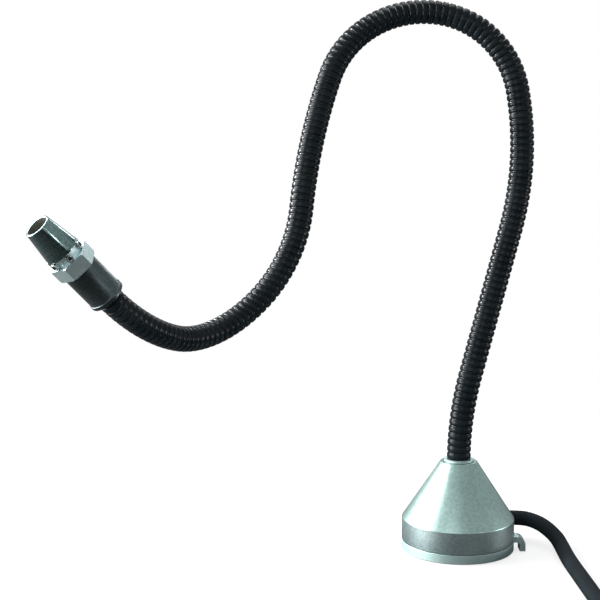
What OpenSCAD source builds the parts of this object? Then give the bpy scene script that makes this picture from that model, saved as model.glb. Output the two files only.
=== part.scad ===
// Bench fume extractor: weighted turned base, stay-put arm, clamped nozzle, exhaust hose

/* [Base] */
// Outer diameter of the base plate and of the shell above it
base_d = 120; // [100:1:144]
// Height of the base plate's top face above the bench
plate_h = 10; // [8.5:0.5:14]
// Height of the straight band, from the plate's top face to the cone
band_h = 24; // [24:1:34]
// Height of the cone above the band
cone_h = 62; // [52:1:80]
// Wall thickness of the turned shell
shell_wall = 4; // [3:0.5:5]
// Width of the flat rim around the bush at the cone's top
top_rim = 3.4; // [2.5:0.1:6]
// Radius of the rounded edge between band and cone
edge_r = 3; // [1:0.5:5]
// Thickness of the gasket between plate and shell
gasket_t = 0.6; // [0.4:0.1:1]
// Thickness of the rubber foot pad
pad_t = 2; // [1.5:0.5:3]
// How far the foot pad stands out below the base plate
pad_stand = 0.5; // [0.3:0.1:1]
// Height of the cast ballast block
ballast_h = 34; // [28:1:38]

/* [Arm] */
// Outer diameter of the stay-put arm
arm_d = 24.4; // [20:0.1:30]
// Bore of the arm
arm_bore = 19; // [15:0.5:20]
// Bore through the ball at each knuckle of the arm
ball_bore = 15; // [10:0.5:16]
// Length of open knuckle between two arm segments
knuckle_gap = 7; // [6:0.5:9]
// Height of the first arc's start above the cone's top
arm_rise = 4; // [3:0.5:8]
// Length of arm held inside each end ferrule
root_len = 20; // [14:1:24]

/* [Neck swivel] */
// Wall of the ferrule that the arm stands in
ferrule_wall = 1.75; // [1.5:0.05:3]
// Wall of the bush that the ferrule turns in
bush_wall = 1.8; // [1.4:0.1:3]
// Height of the bush
bush_h = 16; // [12:1:20]
// Thickness of the ferrule's top flange
flange_t = 2; // [1.5:0.1:3]
// Thickness of the retaining clip
clip_t = 1.5; // [1:0.1:2]

/* [Nozzle] */
// Length of the sleeve behind the clamp collar
sleeve_len = 41; // [34:1:50]
// Wall of the sleeve around the arm
sleeve_wall = 5.2; // [4.2:0.1:7]
// Length of the sleeve's front spigot inside the collar
spigot_len = 9; // [7:0.5:11]
// Size across the corners of the hexagonal clamp collar
hex_d = 42; // [40:0.5:50]
// Length of the hexagonal part of the collar
hex_len = 15; // [14:0.5:20]
// Diameter of the collar's round band that carries the clamp screws
collar_d = 31; // [30:0.5:36]
// Length of that band
collar_len = 7.7; // [7.4:0.1:10]
// Length of the nozzle's cone
nozzle_len = 33.6; // [28:0.2:42]
// Outer diameter of the nozzle at the collar
nozzle_rear_d = 33.6; // [30:0.2:40]
// Outer diameter of the nozzle at the mouth
nozzle_mouth_d = 25.2; // [24:0.2:30]
// Bore of the nozzle
nozzle_bore = 20.8; // [17:0.2:21.4]
// Length of the nozzle's rear spigot inside the collar
nozzle_spigot_len = 13.4; // [11:0.2:14]

/* [Fixing strap] */
// Width of the bent strap beside the base
strap_w = 16; // [14:1:22]
// Thickness of the strap
strap_t = 6; // [4:0.5:7]
// Clear gap between the base plate and the strap's leg
strap_gap = 5; // [4.5:0.5:8]
// Sideways place of the strap's middle
strap_y = -7; // [-8:1:0]

/* [Exhaust hose] */
// Outer diameter of the exhaust hose
hose_d = 16; // [13:0.5:19]
// Bore of the exhaust hose and of the inner duct
hose_bore = 11; // [8:0.5:12]
// Height of the hose's outlet above the bench
outlet_z = 23; // [22:0.5:24]
// Sideways place of the hose's outlet
outlet_y = 33; // [30:1:36]
// Length of the hose's end connector, without its spigot
cuff_len = 24; // [20:1:30]
// Length of the connector's spigot
plug_len = 20; // [15:1:25]

/* [Hidden] */
// Clearance of pieces seated in one another, and of pieces that turn
seat_gap = 0.05;
turn_gap = 0.25;
face_gap = 0.3;
$fn = 96;
eps = 0.01;

base_r = base_d / 2;
shell_in_r = base_r - shell_wall;
band_top = plate_h + band_h;
cone_top = band_top + cone_h;
arm_r = arm_d / 2;
ferrule_r = arm_r + seat_gap + ferrule_wall;
bush_in_r = ferrule_r + turn_gap;
bush_r = bush_in_r + bush_wall;
neck_r = bush_r + seat_gap;
top_r = neck_r + top_rim;
arm_z = cone_top + arm_rise;
root_z = arm_z - root_len - arm_rise;

// Shell: slope of the cone and thickness of its collar under the neck
cone_run = base_r - top_r;
cone_slant = sqrt(pow(cone_run, 2) + pow(cone_h, 2));
wall_across = shell_wall * cone_slant / cone_h;
collar_z = cone_top - bush_h + 2;
collar_r = top_r + cone_run * (cone_top - collar_z) / cone_h - wall_across;
hollow_knee = band_top - cone_h * (wall_across - shell_wall) / cone_run;

// Places of the seal and of the clip on the neck's ferrule
neck_seal_z = cone_top - 8;
neck_seal_r = 0.6;
clip_z = cone_top - bush_h - face_gap - clip_t;
clip_depth = 0.8;

// Screws: [shank radius, head radius, head height]
M4 = [2, 3.5, 3.5];
M4_LOW = [2, 3.5, 2.5];
M4_FLAT = [2, 4, 2.3];
M5_FLAT = [2.5, 5, 2.7];
thread_gap = 0.05;
body_screw_r = base_r - 8;
body_screw_at = [60, 150, 240, 330];
boss_r = 4.5;
boss_h = 18;
boss_lift = 0.4;
body_screw_len = 17;
ballast_screw_r = 28;
ballast_screw_len = 22;

// Ballast: radius, and the channel for the duct through it
ballast_r = base_r - 16;
outlet_x = sqrt(pow(shell_in_r, 2) - pow(outlet_y, 2)) - 0.25;
hose_r = hose_d / 2;
channel_floor = outlet_z - hose_r - 2;
channel_turn = atan2(outlet_y, outlet_x);

// Duct: a quarter bend below the neck, then a level bend to the outlet
duct_bend = 22;
duct_level = (pow(outlet_x, 2) + pow(outlet_y, 2) - pow(duct_bend, 2)) / (2 * outlet_y);
duct_heading = atan2(outlet_y - duct_level, outlet_x)
    + asin(duct_level / norm([outlet_x, outlet_y - duct_level]));
duct_cup_r = arm_bore / 2 + 1.1;
duct_cup_h = 9;
shoulder_r = duct_cup_r + 0.4;

// Grommet around the hose in the shell's wall
grommet_waist = hose_r + 1.6;
grommet_lip = hose_r + 2.8;
grommet_in = 1.4;
grommet_out = 1.2;
grommet_flare = 1.3;

// Arm: knuckle ball, and each arc's [length, bend, heading of the bend]
ball_r = arm_r - 0.6;
ball_play = 0.3;
ball_neck = 9;
bore_step = 0.15;
arcs = [
    [90, 18, 30], [160, 0, 0], [150, -25, 0],
    [130, -75, 0], [145, -77, 10], [145, -13, -5],
    [110, 38, 5], [110, 65, -55], [105, 37, 0]
];
arc_count = len(arcs);

// Places along the nozzle's axis, from the arm's end
hex_z = sleeve_len;
collar_z1 = hex_z + hex_len;
collar_z2 = collar_z1 + collar_len;
nozzle_z = collar_z2 + 0.2;
mouth_z = nozzle_z + nozzle_len;
clamp_z = collar_z1 + collar_len / 2;
sleeve_r = arm_r + sleeve_wall;
duct_r = nozzle_bore / 2;
spigot_r = collar_d / 2 - 1;
nozzle_spigot_r = duct_r + 2.3;
clamp_screw_turns = [for (k = [0 : 5]) 60 * k];
head_seat = sqrt(pow(collar_d / 2, 2) - pow(M4[1], 2)) - 0.05;
sleeve_screw_turns = [150, 210];
sleeve_screw_z = 10;
nozzle_seal_z = nozzle_z - 9;
seal_r = 0.58;
// Turn of the nozzle's flats about its own axis
nozzle_turn = -142;

// Hose: points of its way from the outlet to the coil
hose_sides = 10;
hose_route = [
    [outlet_x, outlet_y, outlet_z],
    [53, 33, 23], [65, 31, 23.6], [78, 25.5, 24], [90, 16.5, 21.8], [99, 5, 17.6],
    [105, -9, 13.2], [107, -24, 10], [107.5, -40, 8.5], [107.5, -60, 8], [108, -85, 8],
    [109, -110, 8], [110, -135, 8], [111, -160, 8], [112, -185, 8], [112, -210, 8.5]
];
coil_at = [214, -240];
coil_turns = [86, 102];
coil_lift = 0.9;
coil_z = hose_r + coil_lift;
// Hose's end: where it leaves the inner turn, how far it goes round, and how much of that it climbs
end_turn = 60;
end_sweep = 120;
end_climb = 110;
end_steps = 10;
cuff_r = hose_r + 3;
cuff_grip = 14;
cuff_seat = 0.1;
cuff_z = coil_z + hose_r + cuff_r + cuff_seat;

// ---- Frames along the arm ----

function shift_by(v) = [[1, 0, 0, v.x], [0, 1, 0, v.y], [0, 0, 1, v.z], [0, 0, 0, 1]];
function turn_z(a) = [[cos(a), -sin(a), 0, 0], [sin(a), cos(a), 0, 0], [0, 0, 1, 0], [0, 0, 0, 1]];
function turn_y(a) = [[cos(a), 0, sin(a), 0], [0, 1, 0, 0], [-sin(a), 0, cos(a), 0], [0, 0, 0, 1]];
function bend_r(length, bend) = length * 180 / (PI * bend);
function arc_end(length, bend) = bend == 0
    ? [0, 0, length]
    : [bend_r(length, bend) * (1 - cos(bend)), 0, bend_r(length, bend) * sin(bend)];
function arc_step(a) = turn_z(a[2]) * shift_by(arc_end(a[0], a[1])) * turn_y(a[1]) * turn_z(-a[2]);
function arm_frame(i) = i == 0 ? shift_by([0, 0, arm_z]) : arm_frame(i - 1) * arc_step(arcs[i - 1]);

// A round bar of radius r that follows an arc, from one place along it to another
module bent_bar(arc, r, from, to) {
    length = arc[0];
    bend = arc[1];
    rotate([0, 0, arc[2] + (bend < 0 ? 180 : 0)])
        if (bend == 0)
            translate([0, 0, from])
                cylinder(r = r, h = to - from);
        else {
            big_r = abs(bend_r(length, bend));
            translate([big_r, 0, 0])
                rotate([90, 0, 180])
                    rotate([0, 0, abs(bend) * from / length])
                        rotate_extrude(angle = abs(bend) * (to - from) / length, $fn = 360)
                            translate([big_r, 0])
                                circle(r = r, $fn = 64);
        }
}

// One stiff stretch of the arm: socket at its start, ball at its end
module arm_segment(i) {
    arc = arcs[i];
    first = i == 0;
    last = i == arc_count - 1;
    length = arc[0];
    color("#20262a")
        multmatrix(arm_frame(i))
            difference() {
                union() {
                    bent_bar(arc, arm_r, first ? 0 : knuckle_gap, length);
                    if (first)
                        translate([0, 0, root_z - arm_z])
                            root_bar();
                    multmatrix(arc_step(arc))
                        if (last)
                            mirror([0, 0, 1])
                                translate([0, 0, -root_len])
                                    root_bar(root_len);
                        else
                            sphere(r = ball_r);
                }
                bent_bar(arc, arm_bore / 2, 0, last ? length : length - ball_neck);
                if (first)
                    translate([0, 0, root_z - arm_z - 1])
                        cylinder(r = arm_bore / 2 + bore_step, h = arm_z - root_z + 1.5);
                else
                    sphere(r = ball_r + ball_play);
                if (!last)
                    bent_bar(arc, ball_bore / 2, length - ball_neck - 1, length);
                multmatrix(arc_step(arc))
                    translate([0, 0, -0.5])
                        cylinder(r = (last ? arm_bore : ball_bore) / 2 + bore_step, h = root_len + 2);
            }
}

// Straight end of the arm inside a ferrule, with a rib where the bent part starts
module root_bar(h = arm_z - root_z) {
    cylinder(r = arm_r, h = h);
    translate([0, 0, h - 0.6])
        cylinder(r = arm_r + bore_step, h = 1.2);
}

module gooseneck_1() { arm_segment(0); }
module gooseneck_2() { arm_segment(1); }
module gooseneck_3() { arm_segment(2); }
module gooseneck_4() { arm_segment(3); }
module gooseneck_5() { arm_segment(4); }
module gooseneck_6() { arm_segment(5); }
module gooseneck_7() { arm_segment(6); }
module gooseneck_8() { arm_segment(7); }
module gooseneck_9() { arm_segment(8); }

// ---- Fasteners ----

// Countersunk screw, head face down at z = 0, shank upwards
module flat_screw(size, length) {
    difference() {
        union() {
            cylinder(r1 = size[1], r2 = size[0], h = size[2], $fn = 48);
            cylinder(r = size[0], h = length, $fn = 48);
        }
        translate([0, 0, -eps])
            cylinder(r = size[0] * 0.75, h = size[2] * 0.6, $fn = 6);
    }
}

module flat_screw_hole(size, length) {
    translate([0, 0, -eps])
        cylinder(r1 = size[1] + thread_gap, r2 = size[0] + thread_gap, h = size[2], $fn = 48);
    translate([0, 0, -eps])
        cylinder(r = size[0] + thread_gap, h = length, $fn = 48);
}

// Cap screw, underside of the head at z = 0, head upwards, shank downwards
module cap_screw(size, length) {
    difference() {
        union() {
            cylinder(r = size[1], h = size[2], $fn = 48);
            translate([0, 0, -length])
                cylinder(r = size[0], h = length + eps, $fn = 48);
        }
        translate([0, 0, size[2] - 2])
            cylinder(r = size[0] * 0.85, h = 3, $fn = 6);
    }
}

module at_body_screws() {
    for (a = body_screw_at)
        rotate([0, 0, a])
            translate([body_screw_r, 0, pad_t])
                children();
}

module at_ballast_screws() {
    for (side = [90, 270])
        rotate([0, 0, channel_turn + side])
            translate([ballast_screw_r, 0, pad_t])
                children();
}

module at_strap_screws() {
    for (side = [-1, 1])
        translate([base_r - 9, strap_y + side * strap_w * 0.27, plate_h + strap_t])
            children();
}

module body_screws() {
    color("#8d9294")
        at_body_screws()
            flat_screw(M4_FLAT, body_screw_len);
}

module ballast_screws() {
    color("#8d9294")
        at_ballast_screws()
            flat_screw(M5_FLAT, ballast_screw_len);
}

module strap_screws() {
    color("#8d9294")
        at_strap_screws()
            cap_screw(M4_LOW, strap_t + 6);
}

// ---- Base ----

module base_plate() {
    chamfer = 0.6;
    color("#b3c4c0")
        difference() {
            rotate_extrude($fn = 180)
                polygon([
                    [0, pad_stand], [base_r - chamfer, pad_stand], [base_r, pad_stand + chamfer],
                    [base_r, plate_h - chamfer / 2], [base_r - chamfer / 2, plate_h], [0, plate_h]
                ]);
            translate([0, 0, -1])
                cylinder(r = base_r - 3 + seat_gap, h = pad_t + 1, $fn = 180);
            at_body_screws()
                flat_screw_hole(M4_FLAT, plate_h);
            at_ballast_screws()
                flat_screw_hole(M5_FLAT, plate_h);
            at_strap_screws()
                translate([0, 0, -strap_t - 6.5])
                    cylinder(r = M4[0] + thread_gap, h = 8, $fn = 48);
        }
}

module foot_pad() {
    color("#1d1f20")
        cylinder(r = base_r - 3, h = pad_t, $fn = 180);
}

// Room that the strap's tongue takes at the foot of the shell
module strap_slot() {
    translate([base_r - 16, strap_y - strap_w / 2 - 0.1, plate_h - 1])
        cube([20, strap_w + 0.2, strap_t + 1.2]);
}

module body_gasket() {
    color("#23282a")
        difference() {
            translate([0, 0, plate_h])
                cylinder(r = base_r - 0.6, h = gasket_t, $fn = 180);
            cylinder(r = shell_in_r, h = plate_h * 2, $fn = 180);
            strap_slot();
        }
}

// Outline of the turned shell: band, rounded edge, cone, flat top
function edge_arc(corner, r, from, to, steps) = [
    for (k = [0 : steps])
        corner + r * [cos(from + (to - from) * k / steps), sin(from + (to - from) * k / steps)]
];

module shell_outline() {
    cone_normal = atan2(cone_run, cone_h);
    edge_drop = edge_r * tan(cone_normal / 2);
    rim = 0.5;
    polygon(concat(
        [[0, plate_h + gasket_t], [base_r - 0.2, plate_h + gasket_t], [base_r, plate_h + gasket_t + 0.3]],
        edge_arc([base_r - edge_r, band_top - edge_drop], edge_r, 0, cone_normal, 6),
        [[top_r + rim * cone_run / cone_h, cone_top - rim], [top_r - rim, cone_top], [0, cone_top]]
    ));
}

module shell_hollow() {
    polygon([
        [0, 0], [shell_in_r, 0], [shell_in_r, hollow_knee], [collar_r, collar_z], [0, collar_z]
    ]);
}

module base_body() {
    color("#a4b8b4")
        difference() {
            union() {
                rotate_extrude($fn = 180)
                    difference() {
                        shell_outline();
                        shell_hollow();
                    }
                at_body_screws()
                    translate([0, 0, plate_h + gasket_t + boss_lift - pad_t])
                        cylinder(r = boss_r, h = boss_h, $fn = 48);
            }
            cylinder(r = neck_r, h = cone_top + 1);
            at_body_screws()
                translate([0, 0, plate_h - pad_t])
                    cylinder(r = M4[0] + thread_gap, h = body_screw_len - plate_h + pad_t + 2, $fn = 48);
            translate([outlet_x - 10, outlet_y, outlet_z])
                rotate([0, 90, 0])
                    cylinder(r = grommet_waist + seat_gap, h = base_r);
            strap_slot();
        }
}

module ballast() {
    color("#4b4f52")
        difference() {
            translate([0, 0, plate_h])
                cylinder(r = ballast_r, h = ballast_h);
            translate([0, 0, channel_floor - 0.5])
                cylinder(r = hose_r + 3, h = ballast_h + plate_h);
            rotate([0, 0, channel_turn])
                translate([0, -hose_r - 1, channel_floor])
                    cube([base_r, 2 * hose_r + 10, ballast_h + plate_h]);
            at_ballast_screws()
                cylinder(r = M5_FLAT[0] + thread_gap, h = ballast_screw_len + 1, $fn = 48);
        }
}

// ---- Neck ----

module neck_bush() {
    color("#17191a")
        difference() {
            union() {
                translate([0, 0, cone_top - bush_h])
                    cylinder(r = bush_r, h = bush_h);
                translate([0, 0, collar_z - 2])
                    cylinder(r = bush_r + 2.5, h = 2);
            }
            cylinder(r = bush_in_r, h = cone_top + 1);
        }
}

module swivel_ferrule() {
    color("#a4b8b4")
        difference() {
            union() {
                translate([0, 0, root_z - 4])
                    cylinder(r = ferrule_r, h = cone_top + face_gap + flange_t - root_z + 4);
                translate([0, 0, cone_top + face_gap])
                    cylinder(r = bush_r - 0.3, h = flange_t);
            }
            translate([0, 0, root_z])
                cylinder(r = arm_r + seat_gap, h = arm_z);
            cylinder(r = shoulder_r, h = cone_top);
            translate([0, 0, neck_seal_z - 1])
                groove(ferrule_r - 1.05, 2);
            translate([0, 0, clip_z - seat_gap])
                groove(ferrule_r - clip_depth, clip_t + 2 * seat_gap);
        }
}

// Ring-shaped cut around the ferrule down to radius r
module groove(r, width) {
    difference() {
        cylinder(r = ferrule_r + 1, h = width);
        translate([0, 0, -1])
            cylinder(r = r, h = width + 2);
    }
}

module neck_seal() {
    color("#101213")
        translate([0, 0, neck_seal_z])
            rotate_extrude()
                translate([ferrule_r - 1.02 + neck_seal_r, 0])
                    circle(r = neck_seal_r, $fn = 32);
}

module retaining_clip() {
    color("#8d9294")
        difference() {
            translate([0, 0, clip_z])
                cylinder(r = ferrule_r + 2.2, h = clip_t);
            cylinder(r = ferrule_r - clip_depth + seat_gap, h = cone_top);
            translate([0, -3, clip_z - 1])
                cube([ferrule_r * 2, 6, clip_t + 2]);
        }
}

// Duct, with a bead at each end of its first bend
module duct_elbow() {
    low = outlet_z + duct_bend;
    cup_top = root_z - 0.4;
    bore_r = hose_bore / 2;
    color("#26292b")
        difference() {
            union() {
                duct_way(hose_r);
                translate([0, 0, low - 1])
                    cylinder(r = hose_r + 0.4, h = 2);
                translate([0, 0, low])
                    cylinder(r = hose_r, h = cup_top - low - 1);
                translate([0, 0, cup_top - duct_cup_h])
                    cylinder(r = duct_cup_r, h = duct_cup_h);
                duct_mid(hose_r + 0.4, 2);
            }
            duct_way(bore_r);
            duct_mid(bore_r + bore_step, 1);
            translate([0, 0, low - 0.5])
                cylinder(r = bore_r + bore_step, h = cone_top);
            translate([0, 0, cup_top - duct_cup_h + 3])
                cylinder(r1 = bore_r, r2 = arm_bore / 2, h = duct_cup_h - 3 + eps);
            translate([outlet_x - 0.5, outlet_y, outlet_z])
                rotate([0, 90, 0])
                    cylinder(r = bore_r + bore_step, h = 1);
        }
}

// The duct's two bends as a bar of radius r
module duct_way(r) {
    rotate([0, 0, duct_heading])
        translate([duct_bend, 0, outlet_z + duct_bend])
            rotate([90, 0, 180])
                rotate([0, 0, -90])
                    rotate_extrude(angle = 90)
                        translate([duct_bend, 0])
                            circle(r = r, $fn = 64);
    translate([outlet_x, outlet_y - duct_level, outlet_z])
        rotate([0, 0, 90])
            rotate_extrude(angle = duct_heading, $fn = 180)
                translate([duct_level, 0])
                    circle(r = r, $fn = 64);
}

// A short bar where the two bends meet
module duct_mid(r, length) {
    rotate([0, 0, duct_heading])
        translate([duct_bend - length / 2, 0, outlet_z])
            rotate([0, 90, 0])
                cylinder(r = r, h = length);
}

module outlet_bar(r) {
    translate([outlet_x - 8, outlet_y, outlet_z])
        rotate([0, 90, 0])
            cylinder(r = r, h = 30);
}

module ring_slab(r_in, r_out, top = band_top + 5) {
    difference() {
        cylinder(r = r_out, h = top, $fn = 180);
        translate([0, 0, -1])
            cylinder(r = r_in, h = top + 2, $fn = 180);
    }
}

// Rubber ring in the shell's wall, with a flared mouth where the hose starts to bend
module outlet_grommet() {
    color("#1b1d1e")
        difference() {
            union() {
                intersection() {
                    outlet_bar(grommet_waist);
                    ring_slab(shell_in_r - grommet_in, base_r + grommet_out);
                }
                intersection() {
                    outlet_bar(grommet_lip);
                    ring_slab(base_r + seat_gap, base_r + grommet_out);
                }
                intersection() {
                    outlet_bar(grommet_lip);
                    ring_slab(shell_in_r - grommet_in, shell_in_r - seat_gap, hollow_knee - seat_gap);
                }
            }
            outlet_bar(hose_r + 0.1);
            translate([outlet_x + 4, outlet_y, outlet_z])
                rotate([0, 90, 0])
                    cylinder(r1 = hose_r + 0.1, r2 = hose_r + grommet_flare, h = 10);
        }
}

// ---- Fixing strap ----

module fixing_strap() {
    bend_in = 3;
    bend_out = bend_in + strap_t;
    leg_x = base_r + strap_gap;
    top = plate_h + strap_t;
    color("#a9b9b7")
        difference() {
            translate([0, strap_y + strap_w / 2, 0])
                rotate([90, 0, 0])
                    linear_extrude(strap_w) {
                        translate([base_r - 15, plate_h])
                            square([leg_x - bend_in - base_r + 15, strap_t]);
                        translate([leg_x, pad_stand])
                            square([strap_t, top - bend_out - pad_stand]);
                        intersection() {
                            translate([leg_x - bend_in, top - bend_out])
                                difference() {
                                    circle(r = bend_out);
                                    circle(r = bend_in);
                                }
                            translate([leg_x - bend_in, top - bend_out])
                                square(bend_out);
                        }
                    }
            at_strap_screws()
                translate([0, 0, -strap_t - 1])
                    cylinder(r = M4[0] + 0.2, h = strap_t + 2, $fn = 48);
        }
}

// ---- Nozzle end ----

module at_nozzle() {
    multmatrix(arm_frame(arc_count))
        rotate([0, 0, nozzle_turn])
            children();
}

// A radial place on the nozzle end, z outwards
module radial(turn, z, r) {
    rotate([0, 0, turn])
        translate([r, 0, z])
            rotate([0, 90, 0])
                children();
}

module nozzle_sleeve() {
    color("#5c6a6c")
        at_nozzle()
            difference() {
                rotate_extrude()
                    polygon([
                        [duct_r, root_len], [arm_r + seat_gap, root_len], [arm_r + seat_gap, 1],
                        [arm_r + bore_step + seat_gap, 1], [arm_r + bore_step + seat_gap, 0],
                        [sleeve_r + 0.3, 0], [sleeve_r + 0.8, 0.5], [sleeve_r + 0.8, 3.5],
                        [sleeve_r + 0.3, 4], [sleeve_r, 4], [sleeve_r, sleeve_len],
                        [spigot_r, sleeve_len], [spigot_r, sleeve_len + spigot_len],
                        [duct_r, sleeve_len + spigot_len]
                    ]);
                for (a = sleeve_screw_turns)
                    radial(a, sleeve_screw_z, arm_r - 1)
                        cylinder(r = M4[0] + thread_gap, h = sleeve_wall + 3, $fn = 48);
            }
}

module sleeve_screws() {
    color("#2a2d2f")
        at_nozzle()
            for (a = sleeve_screw_turns)
                radial(a, sleeve_screw_z, arm_r + seat_gap)
                    difference() {
                        cylinder(r = M4[0], h = sleeve_wall - 0.4, $fn = 48);
                        translate([0, 0, sleeve_wall - 2.4])
                            cylinder(r = M4[0] * 0.55, h = 3, $fn = 6);
                    }
}

module clamp_collar() {
    chamfer = 1.4;
    hex_r = hex_d / 2;
    color("#93a6a6")
        at_nozzle()
            difference() {
                union() {
                    intersection() {
                        translate([0, 0, hex_z + eps])
                            rotate([0, 0, 30])
                                cylinder(r = hex_r, h = hex_len, $fn = 6);
                        translate([0, 0, hex_z + eps])
                            rotate_extrude()
                                polygon([
                                    [0, 0], [hex_r - chamfer, 0], [hex_r + 0.3, chamfer],
                                    [hex_r + 0.3, hex_len - chamfer], [hex_r - chamfer, hex_len], [0, hex_len]
                                ]);
                    }
                    translate([0, 0, hex_z + 1])
                        cylinder(r = collar_d / 2, h = hex_len + collar_len - 1);
                }
                translate([0, 0, hex_z - 1])
                    cylinder(r = spigot_r + seat_gap, h = spigot_len + 1.2);
                cylinder(r = nozzle_spigot_r + 0.15, h = mouth_z);
                for (a = clamp_screw_turns) {
                    radial(a, clamp_z, duct_r)
                        cylinder(r = M4[0] + thread_gap, h = collar_d, $fn = 48);
                    radial(a, clamp_z, head_seat)
                        cylinder(r = M4[1] + 0.05, h = 6, $fn = 48);
                }
            }
}

module clamp_screws() {
    color("#9aa3a5")
        at_nozzle()
            for (a = clamp_screw_turns)
                radial(a, clamp_z, head_seat)
                    cap_screw(M4, head_seat - nozzle_spigot_r - 0.25);
}

module nozzle() {
    rear_r = nozzle_rear_d / 2;
    lip_r = nozzle_mouth_d / 2;
    color("#6f8084")
        at_nozzle()
            difference() {
                rotate_extrude()
                    polygon([
                        [duct_r, nozzle_z - nozzle_spigot_len], [nozzle_spigot_r, nozzle_z - nozzle_spigot_len],
                        [nozzle_spigot_r, nozzle_z], [rear_r - 0.4, nozzle_z], [rear_r, nozzle_z + 0.4],
                        [rear_r, nozzle_z + 2], [lip_r, mouth_z - 0.5], [lip_r - 0.5, mouth_z],
                        [duct_r + 0.4, mouth_z], [duct_r, mouth_z - 0.6]
                    ]);
                translate([0, 0, nozzle_seal_z - 1])
                    difference() {
                        cylinder(r = nozzle_spigot_r + 1, h = 2);
                        translate([0, 0, -1])
                            cylinder(r = nozzle_spigot_r - 1.1, h = 4);
                    }
            }
}

module nozzle_seal() {
    color("#101213")
        at_nozzle()
            translate([0, 0, nozzle_seal_z])
                rotate_extrude()
                    translate([nozzle_spigot_r - 1.08 + seal_r, 0])
                        circle(r = seal_r, $fn = 32);
}

// ---- Exhaust hose ----

function unit(v) = v / norm(v);
function way_tangent(p, i) = unit(p[min(i + 1, len(p) - 1)] - p[max(i - 1, 0)]);
function way_ring(at, along, r) = let(side = unit(cross(along, [0, 0, 1])), up = cross(side, along)) [
    for (k = [0 : hose_sides - 1])
        at + r * (cos(360 * k / hose_sides) * side + sin(360 * k / hose_sides) * up)
];

// A tube skin swept along points, closed at both ends
module swept_tube(points, r, first_along, last_along) {
    n = hose_sides;
    rings = len(points);
    skin = [
        for (i = [0 : rings - 1])
            each way_ring(
                points[i],
                i == 0 ? first_along : i == rings - 1 ? last_along : way_tangent(points, i),
                r
            )
    ];
    sides = [
        for (i = [0 : rings - 2])
            for (k = [0 : n - 1])
                [i * n + k, i * n + (k + 1) % n, (i + 1) * n + (k + 1) % n, (i + 1) * n + k]
    ];
    start_cap = [for (k = [n - 1 : -1 : 0]) k];
    end_cap = [for (k = [0 : n - 1]) (rings - 1) * n + k];
    polyhedron(skin, concat(sides, [start_cap, end_cap]), convexity = 6);
}

module exhaust_hose() {
    color("#3c4247")
        swept_tube(hose_route, hose_r, [1, 0, 0], [0, -1, 0]);
}

module exhaust_hose_coil() {
    color("#3c4247")
        translate([coil_at.x, coil_at.y, coil_z])
            rotate_extrude($fn = 120) {
                for (r = coil_turns)
                    translate([r, 0])
                        circle(r = hose_r, $fn = 48);
                translate([coil_turns[0], -hose_r])
                    square([coil_turns[1] - coil_turns[0], hose_d]);
            }
}

// The hose's end: it climbs from the inner turn onto the coil, where the connector lies
function end_height(turn) = let(t = min(1, turn / end_climb))
    coil_z + (cuff_z - coil_z) * t * t * (3 - 2 * t);
function end_point(turn) = [
    coil_at.x + coil_turns[0] * cos(end_turn + turn),
    coil_at.y + coil_turns[0] * sin(end_turn + turn),
    end_height(turn)
];
end_way = [for (k = [0 : end_steps]) end_point(end_sweep * k / end_steps)];
cuff_heading = end_turn + end_sweep + 90;
cuff_at = end_way[end_steps];
cuff_along = [cos(cuff_heading), sin(cuff_heading), 0];

module exhaust_hose_end() {
    start_heading = end_turn + 90;
    color("#3c4247")
        swept_tube(
            concat(end_way, [cuff_at + cuff_grip * cuff_along]), hose_r,
            [cos(start_heading), sin(start_heading), 0], cuff_along
        );
}

module hose_connector() {
    plug_r = hose_r + 1.5;
    color("#1c1e20")
        translate(cuff_at)
            rotate([0, 0, cuff_heading])
                rotate([0, 90, 0])
                    difference() {
                        union() {
                            cylinder(r = cuff_r, h = cuff_len);
                            cylinder(r = plug_r, h = cuff_len + plug_len);
                        }
                        translate([0, 0, -eps])
                            cylinder(r = hose_r + 0.1, h = cuff_grip + 0.1);
                        cylinder(r = hose_bore / 2, h = cuff_len + plug_len + 1);
                    }
}

// Strap around both turns of the coil
module coil_tie() {
    tie_turn = 20;
    tie_w = 18;
    slack = 0.7;
    mid_r = (coil_turns[0] + coil_turns[1]) / 2;
    half = (coil_turns[1] - coil_turns[0]) / 2;
    color("#24282b")
        translate([coil_at.x, coil_at.y, coil_z])
            rotate([0, 0, tie_turn])
                translate([mid_r, tie_w / 2, 0])
                    rotate([90, 0, 0])
                        linear_extrude(tie_w)
                            difference() {
                                tie_outline(half + slack, hose_r + coil_lift);
                                tie_outline(half + slack, hose_r + 0.1);
                            }
}

module tie_outline(half, r) {
    for (side = [-1, 1])
        translate([side * half, 0])
            circle(r = r, $fn = 64);
    translate([-half, -r])
        square([2 * half, 2 * r]);
}

base_plate();
foot_pad();
body_gasket();
base_body();
body_screws();
ballast();
ballast_screws();
neck_bush();
swivel_ferrule();
neck_seal();
retaining_clip();
duct_elbow();
outlet_grommet();
fixing_strap();
strap_screws();
gooseneck_1();
gooseneck_2();
gooseneck_3();
gooseneck_4();
gooseneck_5();
gooseneck_6();
gooseneck_7();
gooseneck_8();
gooseneck_9();
nozzle_sleeve();
sleeve_screws();
clamp_collar();
clamp_screws();
nozzle();
nozzle_seal();
exhaust_hose();
exhaust_hose_coil();
exhaust_hose_end();
hose_connector();
coil_tie();
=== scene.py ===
import math
import bmesh
import bpy
from mathutils import Matrix, Vector


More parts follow.
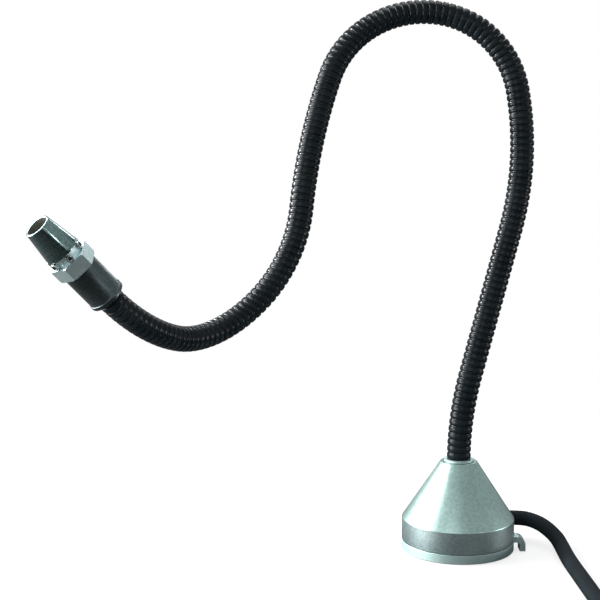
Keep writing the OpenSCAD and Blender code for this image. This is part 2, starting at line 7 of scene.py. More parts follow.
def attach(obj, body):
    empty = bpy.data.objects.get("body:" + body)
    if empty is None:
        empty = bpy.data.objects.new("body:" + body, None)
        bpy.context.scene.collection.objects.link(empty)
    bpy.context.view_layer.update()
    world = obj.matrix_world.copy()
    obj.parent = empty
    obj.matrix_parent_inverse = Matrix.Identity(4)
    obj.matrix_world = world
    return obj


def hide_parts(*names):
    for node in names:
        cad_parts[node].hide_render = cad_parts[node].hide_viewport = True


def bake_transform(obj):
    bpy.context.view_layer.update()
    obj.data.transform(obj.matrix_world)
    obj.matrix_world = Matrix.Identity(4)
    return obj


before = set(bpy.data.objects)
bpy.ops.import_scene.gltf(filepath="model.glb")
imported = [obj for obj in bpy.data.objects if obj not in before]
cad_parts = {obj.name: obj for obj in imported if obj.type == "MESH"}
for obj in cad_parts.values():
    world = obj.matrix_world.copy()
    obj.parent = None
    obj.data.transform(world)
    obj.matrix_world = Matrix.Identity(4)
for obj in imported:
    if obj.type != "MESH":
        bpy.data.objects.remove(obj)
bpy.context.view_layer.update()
scene = bpy.context.scene
print("frame loaded:", len(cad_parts), "CAD nodes")


def mm(*values):
    return Vector([v / 1000 for v in values])


def turnZ(degrees):
    return Matrix.Rotation(math.radians(degrees), 4, "Z")


def softStep(share):
    # from 0 to 1 with a soft start and a soft end, and held outside them
    share = min(1, max(0, share))
    return share * share * (3 - 2 * share)


def corner(radius, height, steps):
    # a corner of an outline, taken off by a few small (across, up) steps
    return [(radius + across, height + up) for across, up in steps]


def turned(outline, sides):
    # a closed (radius, height) outline in mm, spun round the Z axis
    bm = bmesh.new()
    verts = [bm.verts.new(mm(radius, 0, height)) for radius, height in outline]
    for k, vert in enumerate(verts):
        bm.edges.new((vert, verts[(k + 1) % len(verts)]))
    bmesh.ops.spin(
        bm, geom=bm.verts[:] + bm.edges[:], axis=(0, 0, 1), cent=(0, 0, 0), dvec=(0, 0, 0),
        angle=math.tau, steps=sides, use_merge=True, use_duplicate=False,
    )
    bmesh.ops.remove_doubles(bm, verts=bm.verts, dist=1e-6)
    return bm


def moved(bm, matrix):
    bmesh.ops.transform(bm, matrix=matrix, verts=bm.verts)
    return bm


def joined(parts):
    # several bmeshes as one
    whole = bmesh.new()
    for part in parts:
        mesh = bpy.data.meshes.new("part")
        part.to_mesh(mesh)
        part.free()
        whole.from_mesh(mesh)
        bpy.data.meshes.remove(mesh)
    return whole


def addPiece(name, bm, material, stands, body=None, sharp=40):
    # a finished mesh becomes a piece; an arm piece is given no body,
    # and had its faces turned outwards while it was straight
    if body:
        bmesh.ops.recalc_face_normals(bm, faces=bm.faces)
    mesh = bpy.data.meshes.new(name)
    bm.to_mesh(mesh)
    bm.free()
    mesh.shade_smooth()
    mesh.set_sharp_from_angle(angle=math.radians(sharp))
    mesh.materials.append(material)
    piece = bpy.data.objects.new(name, mesh)
    scene.collection.objects.link(piece)
    if body:
        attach(piece, body)
    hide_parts(*stands)
    return piece


def paintFaces(piece, material, picked):
    # a second material on the faces whose middle is picked
    piece.data.materials.append(material)
    for face in piece.data.polygons:
        if picked(face.center):
            face.material_index = 1


def paintNode(name, material):
    # a CAD node keeps its shape and gets a material
    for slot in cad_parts[name].material_slots:
        slot.link = "OBJECT"
        slot.material = material


def newMaterial(name):
    material = bpy.data.materials.new(name)
    material.use_nodes = True
    tree = material.node_tree
    place = tree.nodes.new("ShaderNodeTexCoord")
    return material, tree, tree.nodes["Principled BSDF"], place.outputs["Object"]


def noiseNode(tree, coords, scale, detail=3, rough=0.5):
    noise = tree.nodes.new("ShaderNodeTexNoise")
    noise.inputs["Scale"].default_value = scale
    noise.inputs["Detail"].default_value = detail
    noise.inputs["Roughness"].default_value = rough
    tree.links.new(coords, noise.inputs["Vector"])
    return noise.outputs["Fac"]


def rampNode(tree, source, dark, light, tones):
    ramp = tree.nodes.new("ShaderNodeValToRGB")
    for stop, at, colour in zip(ramp.color_ramp.elements, tones, (dark, light)):
        stop.position = at
        stop.color = (*colour, 1)
    tree.links.new(source, ramp.inputs["Fac"])
    return ramp.outputs["Color"]


def rangeNode(tree, source, low, high, fromLow=0.0, fromHigh=1.0):
    ranged = tree.nodes.new("ShaderNodeMapRange")
    ranged.inputs["From Min"].default_value = fromLow
    ranged.inputs["From Max"].default_value = fromHigh
    ranged.inputs["To Min"].default_value = low
    ranged.inputs["To Max"].default_value = high
    tree.links.new(source, ranged.inputs["Value"])
    return ranged.outputs["Result"]


def bumpNode(tree, height, strength, distance):
    bump = tree.nodes.new("ShaderNodeBump")
    bump.inputs["Strength"].default_value = strength
    bump.inputs["Distance"].default_value = distance
    tree.links.new(height, bump.inputs["Height"])
    return bump.outputs["Normal"]


def mathNode(tree, operation, first, second):
    step = tree.nodes.new("ShaderNodeMath")
    step.operation = operation
    for socket, value in zip(step.inputs, (first, second)):
        if isinstance(value, (int, float)):
            socket.default_value = value
        else:
            tree.links.new(value, socket)
    return step.outputs[0]


def mappingNode(tree, coords, scale=(1, 1, 1), turn=(0, 0, 0)):
    mapping = tree.nodes.new("ShaderNodeMapping")
    mapping.inputs["Scale"].default_value = scale
    mapping.inputs["Rotation"].default_value = [math.radians(a) for a in turn]
    tree.links.new(coords, mapping.inputs["Vector"])
    return mapping.outputs["Vector"]


middleTones = (0.3, 0.7)  # the part of a noise that the roughness follows

lathe = {
    "ringStretch": 5,
    "ringTone": 0.09,
    "ringHeight": 0.000015,
    "cloud": 24,
    "tones": (0.27, 0.73),
    "smoother": 0.03,
    "rougher": 0.04,
}


def turnedMetal(
    name, dark, light, rough, grain=2200, mottle=340, blotch=0.35, relief=0.2, turn=None,
):
    # bare metal off the lathe: fine rings along one axis, fine mottle and a faint cloudy tone
    material, tree, shader, coords = newMaterial(name)
    if turn is not None:
        coords = mappingNode(tree, coords, turn=turn)
    stretched = mappingNode(tree, coords, scale=(lathe["ringStretch"], lathe["ringStretch"], grain))
    rings = noiseNode(tree, stretched, 1.0, detail=2, rough=0.6)
    specks = noiseNode(tree, coords, mottle, detail=4, rough=0.65)
    clouds = noiseNode(tree, coords, lathe["cloud"])
    ringTone = rangeNode(tree, rings, -lathe["ringTone"], lathe["ringTone"])
    cloudTone = rangeNode(tree, clouds, -blotch / 2, blotch / 2)
    tone = mathNode(tree, "ADD", cloudTone, mathNode(tree, "ADD", ringTone, specks))
    colour = rampNode(tree, tone, dark, light, lathe["tones"])
    dull = rangeNode(tree, tone, rough - lathe["smoother"], rough + lathe["rougher"], *middleTones)
    tree.links.new(colour, shader.inputs["Base Color"])
    tree.links.new(dull, shader.inputs["Roughness"])
    tree.links.new(bumpNode(tree, rings, relief, lathe["ringHeight"]), shader.inputs["Normal"])
    shader.inputs["Metallic"].default_value = 1.0
    return material


def moulded(
    name, dark, light, rough, tones=(0.34, 0.68), patch=60, patchRough=0.55,
    grain=900, grainDetail=3, relief=0.3, height=0.00006, specular=0.5,
):
    # black rubber or plastic, or cast iron, with a fine skin and patches of dust
    material, tree, shader, coords = newMaterial(name)
    patches = noiseNode(tree, coords, patch, rough=patchRough)
    fine = noiseNode(tree, coords, grain, detail=grainDetail, rough=0.6)
    dull = rangeNode(tree, patches, *rough, *middleTones)
    tree.links.new(rampNode(tree, patches, dark, light, tones), shader.inputs["Base Color"])
    tree.links.new(dull, shader.inputs["Roughness"])
    tree.links.new(bumpNode(tree, fine, relief, height), shader.inputs["Normal"])
    shader.inputs["Specular IOR Level"].default_value = specular
    return material


metals = {
    "shell": {"dark": (0.21, 0.31, 0.29), "light": (0.33, 0.45, 0.425), "rough": 0.36},
    "band": {
        "dark": (0.19, 0.265, 0.275), "light": (0.42, 0.51, 0.51), "rough": 0.4,
        "mottle": 700, "blotch": 0.6,
    },
    "ring": {
        "dark": (0.33, 0.455, 0.445), "light": (0.44, 0.57, 0.56), "rough": 0.6,
        "grain": 1800,
    },
    "screw": {
        "dark": (0.26, 0.30, 0.30), "light": (0.60, 0.65, 0.65), "rough": 0.26,
        "grain": 500, "mottle": 600,
    },
    "strap": {
        "dark": (0.42, 0.57, 0.56), "light": (0.56, 0.71, 0.70), "rough": 0.42,
        "grain": 900,
    },
}
shellMetal = turnedMetal("turnedAluminium", **metals["shell"])
bandMetal = turnedMetal("bandAluminium", **metals["band"])
ringMetal = turnedMetal("turnedRing", **metals["ring"])
screwMetal = turnedMetal("screwSteel", **metals["screw"])
strapMetal = turnedMetal("strapSteel", **metals["strap"])

mouldings = {
    "castIron": {
        "dark": (0.05, 0.052, 0.055), "light": (0.11, 0.115, 0.12), "rough": (0.54, 0.7),
        "grain": 500, "height": 0.0002,
    },
    "blackRubber": {
        "dark": (0.012, 0.015, 0.017), "light": (0.026, 0.031, 0.034), "rough": (0.49, 0.65),
    },
    "fluxFilm": {
        "dark": (0.045, 0.045, 0.038), "light": (0.11, 0.108, 0.092), "rough": (0.44, 0.6),
        "grain": 700, "height": 0.00004,
    },
    "blackPlasticAndShade": {
        "dark": (0.010, 0.013, 0.015), "light": (0.022, 0.027, 0.030), "rough": (0.32, 0.48),
        "grain": 1500,
    },
}
castMetal = moulded("castIron", **mouldings["castIron"])
blackRubber = moulded("blackRubber", **mouldings["blackRubber"])
fluxFilm = moulded("fluxFilm", **mouldings["fluxFilm"])
blackPlasticAndShade = moulded("blackPlasticAndShade", **mouldings["blackPlasticAndShade"])
print("materials ready")

view = {
    "place": (-0.16936, -1.4555, 0.47342),
    "tilt": 82.0,
    "lens": 84.0,
    "sensor": 36,
    "nearest": 0.05,
}
cameraData = bpy.data.cameras.new("camera")
cameraData.lens = view["lens"]
cameraData.sensor_width = view["sensor"]
cameraData.clip_start = view["nearest"]
camera = bpy.data.objects.new("camera", cameraData)
camera.location = view["place"]
camera.rotation_euler = (math.radians(view["tilt"]), 0, 0)
scene.collection.objects.link(camera)
scene.camera = camera

lamps = {
    "key": {"place": (-1.2, 0.15, 1.0), "size": 1.0, "power": 34},
    "side": {"place": (-1.5, -0.1, 0.26), "size": 1.3, "tall": 0.5, "power": 36},
    "edge": {"place": (1.5, -0.1, 0.16), "size": 0.6, "tall": 0.3, "power": 7},
    "fill": {"place": (-0.9, -2.3, 1.5), "size": 1.8, "power": 16},
    "top": {"place": (0.1, 0.6, 1.9), "size": 1.2, "power": 16},
    "armLine": {"place": (-1.3, 0.45, 0.75), "size": 0.18, "power": 24},
    "tipLine": {"place": (0.85, -1.22, 0.48), "size": 0.12, "power": 0.8},
    "tipRim": {"place": (0.2, 1.13, 0.95), "size": 0.2, "power": 1.0},
}
lampAim = Vector((-0.12, 0, 0.25))
for name, lamp in lamps.items():
    data = bpy.data.lights.new(name, "AREA")
    data.shape = "ELLIPSE"
    data.size = lamp["size"]
    data.size_y = lamp.get("tall", lamp["size"])
    data.energy = lamp["power"]
    light = bpy.data.objects.new(name, data)
    light.location = lamp["place"]
    light.rotation_euler = (lampAim - light.location).to_track_quat("-Z", "Y").to_euler()
    scene.collection.objects.link(light)

backdrop = {
    "worldTint": (0.95, 0.98, 1.0),
    "worldTone": 0.5,
    "worldMirrored": 0.66,
    "floorTone": 0.9,
    "floorMirrored": 0.03,
    "floorRough": 0.9,
    "floorGlow": 0.74,
    "shadowFrom": 0.375,
    "shadowTo": 0.75,
    "size": 30,
}


def seenRays(tree):
    # 1 for rays from the camera or through glass, and 1 for mirrored rays
    rays = tree.nodes.new("ShaderNodeLightPath").outputs
    seen = mathNode(tree, "MAXIMUM", rays["Is Camera Ray"], rays["Is Transmission Ray"])
    return seen, rays["Is Glossy Ray"]


def toneFor(tree, mirrored, plain, inMirrors):
    # one tone for most rays and another for mirrored ones
    change = mathNode(tree, "MULTIPLY", mirrored, inMirrors - plain)
    return mathNode(tree, "ADD", change, plain)


world = bpy.data.worlds.new("studio")
scene.world = world
world.use_nodes = True
worldTree = world.node_tree
seen, mirrored = seenRays(worldTree)
dim = worldTree.nodes["Background"]
dim.inputs["Color"].default_value = (*backdrop["worldTint"], 1)
worldTone = toneFor(worldTree, mirrored, backdrop["worldTone"], backdrop["worldMirrored"])
worldTree.links.new(worldTone, dim.inputs["Strength"])
white = worldTree.nodes.new("ShaderNodeBackground")
white.inputs["Color"].default_value = (1, 1, 1, 1)
both = worldTree.nodes.new("ShaderNodeMixShader")
worldTree.links.new(seen, both.inputs["Fac"])
worldTree.links.new(dim.outputs[0], both.inputs[1])
worldTree.links.new(white.outputs[0], both.inputs[2])
worldTree.links.new(both.outputs[0], worldTree.nodes["World Output"].inputs["Surface"])

floorMesh = bmesh.new()
bmesh.ops.create_grid(floorMesh, x_segments=1, y_segments=1, size=backdrop["size"])
floorData = bpy.data.meshes.new("floor")
floorMesh.to_mesh(floorData)
floorMesh.free()
floor = bpy.data.objects.new("floor", floorData)
scene.collection.objects.link(floor)
floorPaint, floorTree, floorShader, floorPlace = newMaterial("palePaper")
floorShader.inputs["Roughness"].default_value = backdrop["floorRough"]
seen, mirrored = seenRays(floorTree)
# metal mirrors the paper darker than it is, so that its lower faces keep their depth
floorTone = toneFor(floorTree, mirrored, backdrop["floorTone"], backdrop["floorMirrored"])
floorTree.links.new(floorTone, floorShader.inputs["Base Color"])
# the paper keeps the shadow near the object and is plain white further out
distance = floorTree.nodes.new("ShaderNodeVectorMath")
distance.operation = "LENGTH"
floorTree.links.new(floorPlace, distance.inputs[0])
glowShare = rangeNode(
    floorTree, distance.outputs["Value"], backdrop["floorGlow"], 1.0,
    backdrop["shadowFrom"], backdrop["shadowTo"],
)
glow = floorTree.nodes.new("ShaderNodeEmission")
floorMix = floorTree.nodes.new("ShaderNodeMixShader")
floorTree.links.new(mathNode(floorTree, "MULTIPLY", seen, glowShare), floorMix.inputs["Fac"])
floorTree.links.new(floorShader.outputs[0], floorMix.inputs[1])
floorTree.links.new(glow.outputs[0], floorMix.inputs[2])
floorTree.links.new(floorMix.outputs[0], floorTree.nodes["Material Output"].inputs["Surface"])
floorData.materials.append(floorPaint)
scene.view_settings.view_transform = "Standard"
print("camera and light ready")

hose = {
    "across": 0.016,
    "roundness": 10,
    # from the outlet, down to the floor and along it to the coil, in mm
    "route": [
        (45, 33, 23), (49, 33, 23), (53, 33, 23), (65, 31, 23.6), (78, 25.5, 24),
        (90, 16.5, 21.8), (99, 5, 17.6), (105, -9, 13.2), (107, -24, 10), (107.5, -40, 8.5),
        (107.5, -60, 8.05), (108, -85, 8.05), (109, -110, 8.05), (110, -135, 8.05),
        (111, -160, 8.05), (112, -185, 8.1), (112, -210, 8.5), (112.2, -230, 8.8),
    ],
    "coilMiddle": (214, -240),
    "outerTurn": 102,
    "innerTurn": 86,
    "coilHeight": 8.9,
    # places round the coil, in degrees
    "coilFrom": 186,
    "coilStep": 9,
    "stepFrom": 460,
    "stepTo": 546,
    "endFrom": 780,
    "endClimb": 110,
    "endTo": 900,
    "connectorHeight": 28,
    "grip": 14,
    "skin": {
        "dark": (0.004, 0.0065, 0.008), "light": (0.008, 0.0115, 0.014), "rough": (0.58, 0.7),
        "tones": (0.3, 0.7), "patch": 38, "patchRough": 0.5, "grain": 1300, "grainDetail": 2,
        "relief": 0.25, "height": 0.00005, "specular": 0.05,
    },
}


def hosePoints():
    h = hose
    cx, cy = h["coilMiddle"]
    points = [Vector(p) for p in h["route"]]
    # the outer turn, a step inwards, the inner turn, then up onto the coil to the connector
    for angle in range(h["coilFrom"], h["endTo"] + 1, h["coilStep"]):
        inwards = softStep((angle - h["stepFrom"]) / (h["stepTo"] - h["stepFrom"]))
        upwards = softStep((angle - h["endFrom"]) / h["endClimb"])
        radius = h["outerTurn"] + (h["innerTurn"] - h["outerTurn"]) * inwards
        height = h["coilHeight"] + (h["connectorHeight"] - h["coilHeight"]) * upwards
        a = math.radians(angle)
        points.append(Vector((cx + radius * math.cos(a), cy + radius * math.sin(a), height)))
    end = points[-1]
    heading = math.radians(h["endTo"] + 90)
    along = Vector((math.cos(heading), math.sin(heading), 0))
    points += [end + along * h["grip"] * share for share in (0.5, 1.0)]
    return [p / 1000 for p in points], end / 1000, along


def hoseLine(points, between=4):
    # more points on a smooth curve through the route
    smooth = []
    count = len(points)
    for k in range(count - 1):
        before, here = points[max(k - 1, 0)], points[k]
        there, after = points[k + 1], points[min(k + 2, count - 1)]
        for step in range(between):
            t = step / between
            smooth.append(0.5 * (
                2 * here + (there - before) * t
                + (2 * before - 5 * here + 4 * there - after) * t * t
                + (3 * here - before - 3 * there + after) * t ** 3
            ))
    smooth.append(points[-1])
    return smooth


routePoints, connectorPlace, connectorAlong = hosePoints()
line = hoseLine(routePoints)
curve = bpy.data.curves.new("exhaustHose", "CURVE")
curve.dimensions = "3D"
curve.bevel_depth = hose["across"] / 2
curve.bevel_resolution = hose["roundness"]
curve.use_fill_caps = True
spline = curve.splines.new("POLY")
spline.points.add(len(line) - 1)
for point, place in zip(spline.points, line):
    point.co = (*place, 1)
spline.use_smooth = True
curve.materials.append(moulded("hoseRubber", **hose["skin"]))
exhaustHose = bpy.data.objects.new("exhaustHose", curve)
scene.collection.objects.link(exhaustHose)
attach(exhaustHose, "base")
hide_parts("exhaust_hose", "exhaust_hose_coil", "exhaust_hose_end")

connector = {
    "cuff": 11.0,
    "cuffLength": 24.0,
    "cuffFront": [(-0.8, 0), (0, 0.8)],
    "cuffBack": [(0, -1), (-1, 0)],
    "plug": 9.5,
    "plugLength": 20.0,
    "plugEnd": [(0, -1.2), (-0.8, 0)],
    "bore": 5.5,
    "boreEnd": [(0.4, 0), (0, -0.5)],
    # the hole that the hose is held in
    "hole": 8.1,
    "holeDepth": 14.1,
    "grooves": 4,
    "grooveFrom": 4.5,
    "groovePitch": 3.6,
    "groove": [(0, 0), (-0.7, 0.5), (-0.7, 1.5), (0, 2.0)],
    "sides": 72,
}


def hoseConnector():
    c = connector
    total = c["cuffLength"] + c["plugLength"]
    outline = [(c["hole"], 0)] + corner(c["cuff"], 0, c["cuffFront"])
    for k in range(c["grooves"]):
        outline += corner(c["cuff"], c["grooveFrom"] + k * c["groovePitch"], c["groove"])
    outline += corner(c["cuff"], c["cuffLength"], c["cuffBack"]) + [(c["plug"], c["cuffLength"])]
    outline += corner(c["plug"], total, c["plugEnd"]) + corner(c["bore"], total, c["boreEnd"])
    outline += [(c["bore"], c["holeDepth"]), (c["hole"], c["holeDepth"])]
    side = connectorAlong.cross(Vector((0, 0, 1))).normalized()
    up = side.cross(connectorAlong)
    turn = Matrix((side, up, connectorAlong)).transposed().to_4x4()
    bm = moved(turned(outline, c["sides"]), Matrix.Translation(connectorPlace) @ turn)
    return addPiece(
        "hoseConnector", bm, blackPlasticAndShade, ["hose_connector"], "base", sharp=32,
    )


connectorPiece = hoseConnector()
print("hose connector ready")

arm = {
    "start": 100.0,
    # each stretch: length in mm, bend and the heading of the bend in degrees
    "arcs": [
        (90, 18, 30), (160, 0, 0), (150, -25, 0),
        (130, -75, 0), (145, -77, 10), (145, -13, -5),
        (110, 38, 5), (110, 65, -55), (105, 37, 0),
    ],
    "radius": 12.75,
    "bore": 9.6,
    "pitch": 7.1,
    "depth": 1.1,
    # one rib: share of the pitch, share of the depth
    "rib": [
        (0.0, 1.0), (0.08, 0.97), (0.13, 0.72), (0.18, 0.28), (0.25, 0.06), (0.36, 0.0),
        (0.62, 0.0), (0.76, 0.06), (0.83, 0.28), (0.88, 0.72), (0.93, 0.97),
    ],
    "grooveFrom": 0.5,
    "firstRib": 2.0,
    "pastEnd": 3,
    "sides": 48,
    # half the length that a bend is spread over
    "blend": 36.0,
    "skin": {
        "rough": (0.19, 0.32), "tones": (0.32, 0.7), "patch": 45, "grain": 1100, "grainDetail": 2,
        "relief": 0.2, "height": 0.00004,
    },
    "ribSkin": {
        "dark": (0.0025, 0.0045, 0.006), "light": (0.005, 0.0085, 0.0105), "specular": 0.09,
    },
    # the grooves get a darker colour than the ribs: painted shade down in the grooves
    "grooveShadeSkin": {
        "dark": (0.0015, 0.0025, 0.003), "light": (0.003, 0.0045, 0.005), "specular": 0.14,
    },
}


def arcStep(length, bend, heading):
    # from the start of an arc to its end
    angle = math.radians(bend)
    if abs(bend) < 1e-6:
        shift = mm(0, 0, length)
    else:
        radius = length / angle
        shift = mm(radius * (1 - math.cos(angle)), 0, radius * math.sin(angle))
    bent = Matrix.Translation(shift) @ Matrix.Rotation(angle, 4, "Y")
    return turnZ(heading) @ bent @ turnZ(-heading)


stretchStarts = [0.0]
stretchFrames = [Matrix.Translation(mm(0, 0, arm["start"]))]
for length, bend, heading in arm["arcs"]:
    stretchStarts.append(stretchStarts[-1] + length)
    stretchFrames.append(stretchFrames[-1] @ arcStep(length, bend, heading))
armLength = stretchStarts[-1]


def armFrame(along):
    # the place and turn of the arm's line at a distance along it, in mm
    if along <= 0:
        return stretchFrames[0] @ Matrix.Translation(mm(0, 0, along))
    if along >= armLength:
        return stretchFrames[-1] @ Matrix.Translation(mm(0, 0, along - armLength))
    k = max(i for i in range(len(arm["arcs"])) if stretchStarts[i] <= along)
    length, bend, heading = arm["arcs"][k]
    share = (along - stretchStarts[k]) / length
    return stretchFrames[k] @ arcStep(length * share, bend * share, heading)


def ribOutline(first, last):
    # the ribbed outside from one end to the other, then back along the bore
    pitch = arm["pitch"]
    count = round((last - first) / pitch)
    outside = []
    for rib in range(count):
        for at, depth in arm["rib"]:
            outside.append((arm["radius"] - arm["depth"] * depth, first + (rib + at) * pitch))
    outside.append((arm["radius"] - arm["depth"], first + count * pitch))
    return outside + [(arm["bore"], first + rib * pitch) for rib in range(count, -1, -1)]


def armPiece(name, first, last, stands):
    bm = turned(ribOutline(first, last), arm["sides"])
    bmesh.ops.recalc_face_normals(bm, faces=bm.faces)
    # faces down in the grooves get the darker groove material, which is painted shade
    for face in bm.faces:
        middle = face.calc_center_median()
        down = arm["radius"] - math.hypot(middle.x, middle.y) * 1000
        face.material_index = 1 if down > arm["depth"] * arm["grooveFrom"] else 0
    # the straight ribbed tube is laid along the arm's line, ring by ring
    frames = {}
    for v in bm.verts:
        along = v.co.z * 1000
        key = round(along, 4)
        if key not in frames:
            frames[key] = armFrame(along)
        v.co = frames[key] @ Vector((v.co.x, v.co.y, 0))
    piece = addPiece(name, bm, ribRubber, stands, sharp=75)
    piece.data.materials.append(grooveShadedRubber)
    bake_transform(piece)


def wholeRibs(first, along):
    # the nearest place to a distance that ends a rib
    return first + arm["pitch"] * round((along - first) / arm["pitch"])


ribRubber = moulded("ribRubber", **arm["skin"], **arm["ribSkin"])
grooveShadedRubber = moulded("grooveShadedRubber", **arm["skin"], **arm["grooveShadeSkin"])
bendCount = len(arm["arcs"]) - 1
splits = [arm["firstRib"] - 0.5 * arm["pitch"]]
for k in range(1, bendCount):
    splits.append(wholeRibs(splits[0], (stretchStarts[k] + stretchStarts[k + 1]) / 2))
splits.append(wholeRibs(splits[0], armLength + arm["pastEnd"]))
for k in range(1, bendCount + 1):
    # the last piece stands for the last two stretches
    nodes = [f"gooseneck_{k}"] + ([f"gooseneck_{k + 1}"] if k == bendCount else [])
    first, last, joint = splits[k - 1], splits[k], stretchStarts[k]
    armPiece(f"armSkin{k}", first, last, nodes)
print("arm ready:", round(armLength), "mm")

base = {
    "radius": 60.0,
    "foot": 10.6,
    "footEdge": [(-0.35, 0), (0, 0.4)],
    # height of the turned band, and the rounded knee above it
    "band": 34.0,
    "bandSkin": 1,
    "knee": 3.0,
    "kneeSteps": 6,
    "cone": 96.0,
    "rim": 19.5,
    "rimFall": 0.6,
    "rimEdge": [(-0.15, -0.12), (-0.6, 0)],
    "neck": 16.1,
    "neckEdge": [(0.3, 0), (0, -0.3)],
    "wall": 4.0,
    "hollowTop": 82.0,
    "sides": 192,
}


def baseShell():
    b = base
    top, inside = b["cone"], b["radius"] - b["wall"]
    run = (b["radius"] - b["rim"]) / (top - b["band"])
    slope = math.atan(run)
    across = b["wall"] / math.cos(slope)
    kneeFrom = b["band"] - b["knee"] * math.tan(slope / 2)
    outline = [(inside, b["foot"])] + corner(b["radius"], b["foot"], b["footEdge"])
    for k in range(b["kneeSteps"] + 1):
        a = slope * k / b["kneeSteps"]
        inwards = b["knee"] * (1 - math.cos(a))
        outline.append((b["radius"] - inwards, kneeFrom + b["knee"] * math.sin(a)))
    outline += [(b["rim"] + b["rimFall"] * run, top - b["rimFall"])]
    outline += corner(b["rim"], top, b["rimEdge"]) + corner(b["neck"], top, b["neckEdge"])
    outline += [
        (b["neck"], b["hollowTop"]),
        (b["rim"] + (top - b["hollowTop"]) * run - across, b["hollowTop"]),
        (inside, b["band"] - (across - b["wall"]) / run),
    ]
    bm = turned(outline, b["sides"])
    piece = addPiece("baseShell", bm, shellMetal, ["base_body"], "base")

    def onBand(place):
        out = math.hypot(place.x, place.y) * 1000
        return place.z * 1000 < kneeFrom and out > b["radius"] - b["bandSkin"]

    paintFaces(piece, bandMetal, onBand)


baseShell()
nodeFinish = {
    "base_plate": ringMetal, "foot_pad": blackRubber, "body_gasket": blackRubber,
    "body_screws": screwMetal, "ballast": castMetal, "ballast_screws": screwMetal,
    "neck_bush": blackPlasticAndShade, "neck_seal": blackRubber, "retaining_clip": screwMetal,
    "duct_elbow": blackPlasticAndShade, "outlet_grommet": blackRubber, "fixing_strap": strapMetal,
    "strap_screws": screwMetal, "coil_tie": blackRubber, "swivel_ferrule": ringMetal,
    "nozzle_seal": blackRubber, "sleeve_screws": screwMetal,
}
for name, material in nodeFinish.items():
    paintNode(name, material)
print("base ready")

tip = {"turn": -142.0, "mottle": 500, "relief": 0.03}
tipFrame = stretchFrames[-1] @ turnZ(tip["turn"])
# lathe rings follow the nozzle's own axis
tipTurn = [math.degrees(a) for a in tipFrame.to_3x3().inverted().to_euler()]
tipSkin = {"mottle": tip["mottle"], "relief": tip["relief"], "turn": tipTurn}
touch = 0.05  # how near a face or vertex counts as on a surface, in mm

nozzle = {
    "from": 63.9,
    "length": 33.6,
    "rear": 16.8,
    "rearEdge": [(-0.5, 0), (-0.12, 0.14), (0, 0.5)],
    "straight": 2,
    "mouth": 12.6,
    "mouthEdge": [(0.1, -1.0), (0, -0.5), (-0.16, -0.16), (-0.5, 0)],
    "bore": 10.4,
    "boreEdge": [(0.4, 0), (0.1, -0.2), (0, -0.6)],
    "spigot": 12.7,
    "spigotLength": 13.4,
    "spigotEdge": [(-0.4, 0), (0, 0.4)],
    "sides": 128,
    "skin": {
        "dark": (0.05, 0.105, 0.105), "light": (0.25, 0.345, 0.335), "rough": 0.13, "grain": 1500,
    },
}


def nozzlePiece():
    n = nozzle
    rear, mouth = n["from"], n["from"] + n["length"]
    back = rear - n["spigotLength"]
    outline = [(n["bore"], back)] + corner(n["spigot"], back, n["spigotEdge"])
    outline += [(n["spigot"], rear)] + corner(n["rear"], rear, n["rearEdge"])
    outline += [(n["rear"], rear + n["straight"])]
    outline += corner(n["mouth"], mouth, n["mouthEdge"]) + corner(n["bore"], mouth, n["boreEdge"])
    bm = moved(turned(outline, n["sides"]), tipFrame)
    metal = turnedMetal("nozzleMetal", **n["skin"], **tipSkin)
    piece = addPiece("taperedNozzle", bm, metal, ["nozzle"], "nozzle")
    toTip = tipFrame.inverted()

    def inBore(place):
        middle = toTip @ place * 1000
        return math.hypot(middle.x, middle.y) < n["bore"] + touch

    # a brown flux film darkens the bore
    paintFaces(piece, fluxFilm, inBore)


sleeve = {
    "radius": 17.4,
    "length": 41.0,
    "endEdge": [(0, -0.4), (-0.4, 0)],
    "lip": [(0.3, 0), (0.68, 0.12), (0.8, 0.5), (0.8, 3.5), (0.68, 3.85), (0.2, 4.1), (0, 4.4)],
    # the seat that the arm ends in
    "seat": 12.25,
    "seatDepth": 20,
    "seatEdge": [(0, 1.0), (0.15, 0.7), (0.15, 0)],
    "bore": 10.4,
    "spigot": 14.5,
    "spigotLength": 9,
    "spigotEdge": [(0, -0.4), (-0.4, 0)],
    "sides": 128,
    "skin": {
        "dark": (0.05, 0.065, 0.07), "light": (0.10, 0.125, 0.13), "rough": 0.34, "grain": 1500,
    },
}


def sleevePiece():
    s = sleeve
    length, spigotEnd = s["length"], s["length"] + s["spigotLength"]
    outline = [(s["bore"], s["seatDepth"]), (s["seat"], s["seatDepth"])]
    outline += corner(s["seat"], 0, s["seatEdge"]) + corner(s["radius"], 0, s["lip"])
    outline += corner(s["radius"], length, s["endEdge"]) + [(s["spigot"], length)]
    outline += corner(s["spigot"], spigotEnd, s["spigotEdge"]) + [(s["bore"], spigotEnd)]
    bm = moved(turned(outline, s["sides"]), tipFrame)
    metal = turnedMetal("sleeveMetal", **s["skin"], **tipSkin)
    addPiece("armSleeve", bm, metal, ["nozzle_sleeve"], "arm_9")


screw = {
    "count": 6,
    "seat": 15.05,
    "along": 59.85,
    "shank": 2.0,
    "shankLength": 2.0,
    "shankEdge": [(-0.3, 0), (0, 0.3)],
    "head": 3.5,
    "height": 3.5,
    "headFoot": [(-0.15, 0), (0, 0.15)],
    "headEdge": [(0, -0.45), (-0.13, -0.13), (-0.45, 0)],
    "knurlDepth": 0.11,
    "socket": 1.9,
    "socketEdge": [(0.25, 0), (0, -0.25)],
    "socketDepth": 2.2,
    "socketFlat": 0.9,
    # socket faces within this radius are painted black as shade
    "socketShadeRadius": 1.88,
    "drillPoint": 0.5,
    "sides": 48,
}


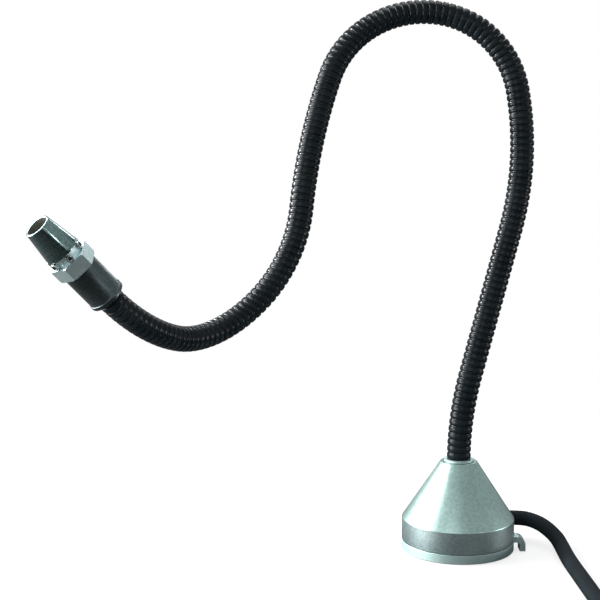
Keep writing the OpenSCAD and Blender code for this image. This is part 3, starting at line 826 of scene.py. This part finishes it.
def clampScrew():
    # a socket-head screw, knurled, with a six-sided socket
    s = screw
    top, floorAt = s["height"], s["height"] - s["socketDepth"]
    outline = [(0.0, -s["shankLength"])] + corner(s["shank"], -s["shankLength"], s["shankEdge"])
    outline += [(s["shank"], 0)] + corner(s["head"], 0, s["headFoot"])
    outline += corner(s["head"], top, s["headEdge"]) + corner(s["socket"], top, s["socketEdge"])
    outline += [(s["socket"], floorAt), (0.0, floorAt - s["drillPoint"])]
    bm = turned(outline, s["sides"])
    for v in bm.verts:
        radius = math.hypot(v.co.x, v.co.y) * 1000
        turn = math.degrees(math.atan2(v.co.y, v.co.x))
        if abs(radius - s["head"]) < touch and round(turn * s["sides"] / 360) % 2:
            v.co.xy *= 1 - s["knurlDepth"] / s["head"]
        elif v.co.z * 1000 > floorAt - touch and radius < s["socket"] + touch:
            # six flats: degrees from the middle of the nearest one
            fromFlat = (turn + 360) % 60 - 30
            v.co.xy *= s["socketFlat"] / math.cos(math.radians(fromFlat))
    return bm


def clampScrews():
    # all round the clamp band, with painted shade in the sockets
    s = screw
    onBand = Matrix.Translation(mm(s["seat"], 0, s["along"])) @ Matrix.Rotation(math.pi / 2, 4, "Y")
    places = [tipFrame @ turnZ(360 / s["count"] * k) @ onBand for k in range(s["count"])]
    bm = joined([moved(clampScrew(), place) for place in places])
    piece = addPiece(
        "clampScrews", bm, screwMetal, ["clamp_screws"], "arm_9", sharp=30,
    )
    toScrews = [place.inverted() for place in places]
    deepest = s["height"] - s["socketDepth"] - s["drillPoint"] - touch

    def inSocket(place):
        spots = [toScrew @ place * 1000 for toScrew in toScrews]
        return any(p.z > deepest and math.hypot(p.x, p.y) < s["socketShadeRadius"] for p in spots)

    # the socket faces take the black material as painted shade in the recess
    paintFaces(piece, blackPlasticAndShade, inSocket)


collarSkin = {
    "dark": (0.54, 0.70, 0.71), "light": (0.72, 0.85, 0.86), "rough": 0.4, "grain": 900,
}
nozzlePiece()
sleevePiece()
clampScrews()
paintNode("clamp_collar", turnedMetal("collarMetal", **collarSkin, **tipSkin))
print("nozzle end ready")
